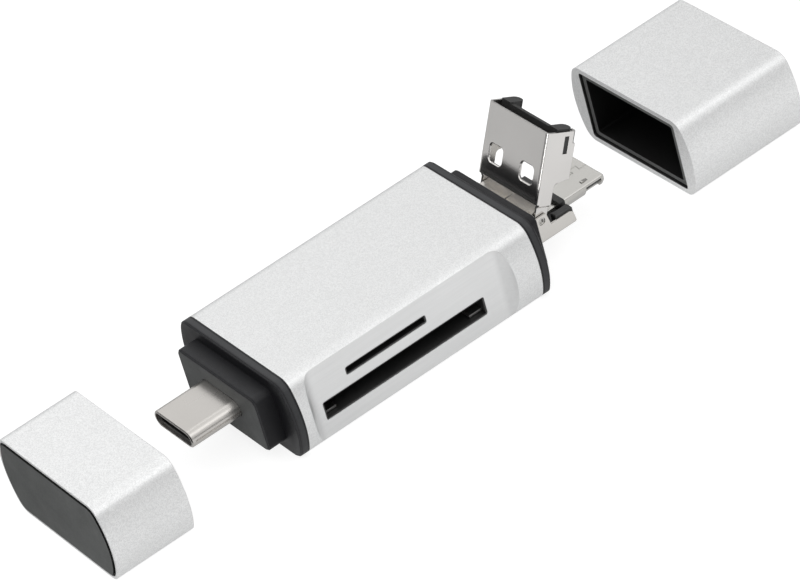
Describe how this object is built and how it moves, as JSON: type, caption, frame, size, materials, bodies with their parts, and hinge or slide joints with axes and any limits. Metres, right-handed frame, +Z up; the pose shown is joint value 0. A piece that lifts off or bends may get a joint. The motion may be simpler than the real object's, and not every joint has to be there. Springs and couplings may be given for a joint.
{
  "type": "usb memory card reader",
  "caption": "Pocket memory card reader: aluminium sleeve with SD and microSD slots, a USB-C plug, a flip-up USB-A shell over a micro-USB plug, and a pull-off cap at each end.",
  "frame": {"origin": "centre of the body sleeve's flat underside, on the surface it lies on", "axes": "+X along the reader from the USB-C end to the USB-A end, -Y out of the card slots, +Z up"},
  "size_m": [0.1071, 0.0238, 0.0175],
  "materials": {
    "body_aluminium": "bead-blasted, clear anodised silver",
    "cap_aluminium": "bead-blasted, clear anodised silver",
    "frame_plastic": "dark grey moulding, matt",
    "liner_plastic": "dark grey moulding, matt",
    "black_plastic": "black moulding, satin",
    "insert_plastic": "black moulding, matt",
    "usb_c_steel": "drawn, nickel plated",
    "bracket_steel": "folded sheet, nickel plated",
    "flip_steel": "folded sheet, nickel plated",
    "micro_steel": "folded sheet, nickel plated",
    "pin_steel": "turned, bright",
    "spring_steel": "stamped, plain",
    "gold": "gold plated",
    "board": "green solder mask",
    "chip": "black epoxy",
    "crystal_can": "plated can",
    "ceramic": "tan ceramic",
    "resistor_film": "black film"
  },
  "bodies": {
    "reader": {"body_sleeve": "body_aluminium", "usb_c_frame": "frame_plastic", "usb_a_frame": "frame_plastic", "main_board": "board", "controller_chip": "chip", "crystal": "crystal_can", "capacitors": "ceramic", "resistors": "resistor_film", "sd_socket": "black_plastic", "microsd_socket": "black_plastic", "sd_contacts": "gold", "microsd_contacts": "gold", "usb_c_contacts": "gold", "micro_usb_contacts": "gold", "sd_guide_springs": "spring_steel", "usb_c_shell": "usb_c_steel", "usb_c_insert": "black_plastic", "hinge_bracket": "bracket_steel", "hinge_pins": "pin_steel", "plug_base": "black_plastic", "micro_usb_shell": "micro_steel", "micro_usb_latches": "micro_steel", "micro_usb_insert": "black_plastic"},
    "flip_shell": {"usb_a_shell": "flip_steel", "usb_a_tip_insert": "insert_plastic", "usb_a_contacts": "gold"},
    "usb_c_cap": {"usb_c_cap_sleeve": "cap_aluminium", "usb_c_cap_liner": "liner_plastic"},
    "usb_a_cap": {"usb_a_cap_sleeve": "cap_aluminium", "usb_a_cap_liner": "liner_plastic"}
  },
  "joints": [
    {"name": "flip", "type": "hinge", "parent": "reader", "child": "flip_shell", "pos_m": [0.02333, 0, 0.00655], "axis": [0, 1, 0], "range_deg": [-26.6, 63.4]},
    {"name": "usb_c_cap_slide", "type": "slide", "parent": "reader", "child": "usb_c_cap", "axis": [1, 0, 0], "range_m": [0, 0.016]},
    {"name": "usb_a_cap_slide", "type": "slide", "parent": "reader", "child": "usb_a_cap", "axis": [-1, 0, 0], "range_m": [0, 0.0066]}
  ]
}
